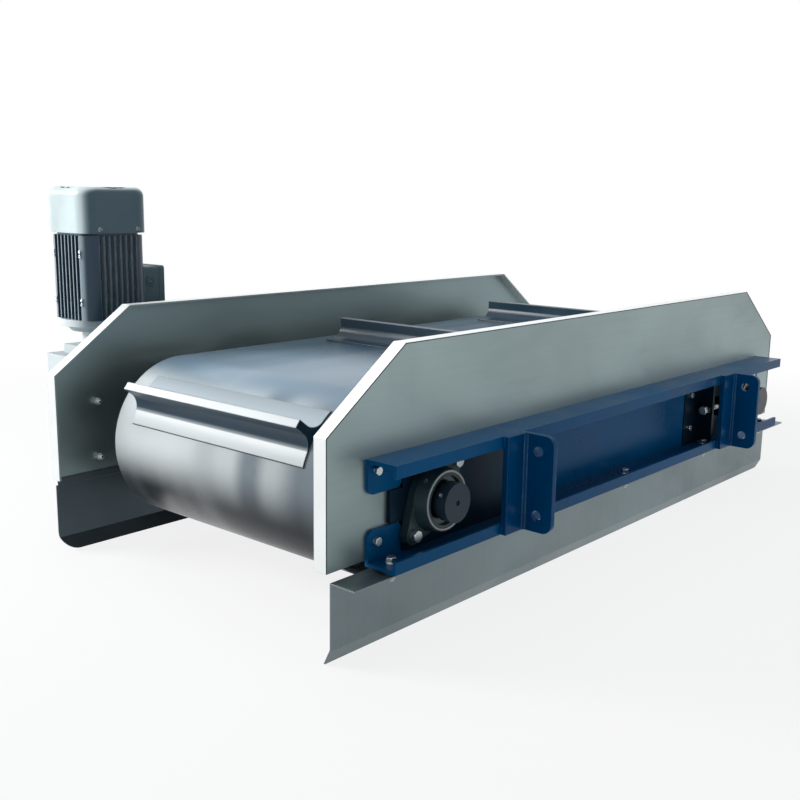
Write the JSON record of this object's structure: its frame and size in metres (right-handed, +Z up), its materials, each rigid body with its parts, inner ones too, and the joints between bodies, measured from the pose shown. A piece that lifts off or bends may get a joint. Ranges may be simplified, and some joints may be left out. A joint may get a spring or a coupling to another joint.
{
  "type": "self-cleaning belt magnetic separator",
  "caption": "Suspended belt magnetic separator: cleated belt round a fixed magnet between folded side plates, flange bearings, take-up and a vertical gear motor.",
  "frame": {"origin": "centre of the bounding box's bottom, under the lower lips of the skirts", "axes": "+X along the belt from the drive drum to the tail drum, +Y across towards the motor side, +Z up"},
  "size_m": [1.6, 1.109, 0.698],
  "materials": {
    "side_plate": "satin",
    "channel_blue": "gloss",
    "hanger_blue": "gloss",
    "skirt_sheet": "satin",
    "beam_paint": "satin",
    "magnet_sheet": "satin",
    "yoke_steel": "matte",
    "magnet_block": "matte",
    "belt_rubber": "satin",
    "cleat_rubber": "satin",
    "bearing_plate": "satin",
    "bearing_case": "satin",
    "bearing_steel": "polished",
    "sleeve_steel": "satin",
    "drum_steel": "satin",
    "shaft_steel": "turned",
    "zinc": "zinc plated",
    "cap_plastic": "matte",
    "gear_paint": "satin",
    "wheel_bronze": "satin",
    "motor_paint": "satin",
    "fan_cover_paint": "satin",
    "core_steel": "matte",
    "fan_plastic": "matte",
    "terminal_paint": "satin",
    "plug_plastic": "matte"
  },
  "bodies": {
    "frame": {"near_side_plate": "side_plate", "far_side_plate": "side_plate", "near_channel": "channel_blue", "far_channel": "channel_blue", "near_front_hanger": "hanger_blue", "near_rear_hanger": "hanger_blue", "far_front_hanger": "hanger_blue", "far_rear_hanger": "hanger_blue", "near_skirt": "skirt_sheet", "far_skirt": "skirt_sheet", "cross_beams": "beam_paint", "magnet_cover": "magnet_sheet", "magnet_wear_plate": "magnet_sheet", "magnet_yoke": "yoke_steel", "magnet_blocks": "magnet_block", "belt": "belt_rubber", "cleat_1": "cleat_rubber", "cleat_2": "cleat_rubber", "cleat_3": "cleat_rubber", "cleat_4": "cleat_rubber", "cleat_5": "cleat_rubber", "cleat_6": "cleat_rubber", "drive_bearing_plates": "bearing_plate", "near_drive_housing": "bearing_case", "far_drive_housing": "bearing_case", "drive_outer_rings": "bearing_steel", "drive_balls": "bearing_steel", "take_up_anchors": "bearing_plate", "frame_bolts": "zinc", "unit_bolts": "zinc", "gear_mount": "gear_paint", "gear_housing": "gear_paint", "gear_cover": "gear_paint", "gear_bearings": "bearing_steel", "motor_adapter": "gear_paint", "oil_plug": "plug_plastic", "stator_frame": "motor_paint", "stator_core": "core_steel", "end_shield": "motor_paint", "fan_cover": "fan_cover_paint", "terminal_box": "terminal_paint"},
    "drive_drum": {"drive_drum": "drum_steel", "drive_shaft": "shaft_steel", "drive_inner_rings": "sleeve_steel", "worm_wheel": "wheel_bronze"},
    "tail_carriage": {"tail_slides": "bearing_plate", "near_tail_housing": "bearing_case", "far_tail_housing": "bearing_case", "tail_outer_rings": "bearing_steel", "tail_balls": "bearing_steel", "tail_caps": "cap_plastic", "slide_bolts": "zinc"},
    "tail_drum": {"tail_drum": "drum_steel", "tail_shaft": "shaft_steel", "tail_inner_rings": "sleeve_steel"},
    "near_screw": {"near_take_up_screw": "zinc"},
    "far_screw": {"far_take_up_screw": "zinc"},
    "worm": {"worm_shaft": "shaft_steel"},
    "rotor": {"rotor": "shaft_steel", "fan": "fan_plastic"}
  },
  "joints": [
    {"name": "drive_drum_spin", "type": "hinge", "parent": "frame", "child": "drive_drum", "pos_m": [-0.579, -0.0545, 0.221], "axis": [0, 1, 0], "continuous": true},
    {"name": "take_up_slide", "type": "slide", "parent": "frame", "child": "tail_carriage", "axis": [1, 0, 0], "range_m": [-0.03, 0]},
    {"name": "tail_drum_spin", "type": "hinge", "parent": "tail_carriage", "child": "tail_drum", "pos_m": [0.579, -0.0545, 0.221], "axis": [0, 1, 0], "continuous": true},
    {"name": "near_screw_turn", "type": "hinge", "parent": "tail_carriage", "child": "near_screw", "pos_m": [0.392, -0.4545, 0.221], "axis": [1, 0, 0], "range_deg": [-3600, 0]},
    {"name": "far_screw_turn", "type": "hinge", "parent": "tail_carriage", "child": "far_screw", "pos_m": [0.392, 0.3455, 0.221], "axis": [1, 0, 0], "range_deg": [-3600, 0]},
    {"name": "worm_spin", "type": "hinge", "parent": "frame", "child": "worm", "pos_m": [-0.629, 0.4715, 0.221], "axis": [0, 0, 1], "continuous": true},
    {"name": "rotor_spin", "type": "hinge", "parent": "frame", "child": "rotor", "pos_m": [-0.579, 0.4715, 0.446], "axis": [0, 0, 1], "continuous": true}
  ],
  "couplings": [
    {"joint": "tail_drum_spin", "follows": "drive_drum_spin", "ratio": 1},
    {"joint": "worm_spin", "follows": "drive_drum_spin", "ratio": -10},
    {"joint": "rotor_spin", "follows": "drive_drum_spin", "ratio": 15},
    {"joint": "near_screw_turn", "follows": "take_up_slide", "rad_per_m": 2094.4},
    {"joint": "far_screw_turn", "follows": "take_up_slide", "rad_per_m": 2094.4}
  ]
}
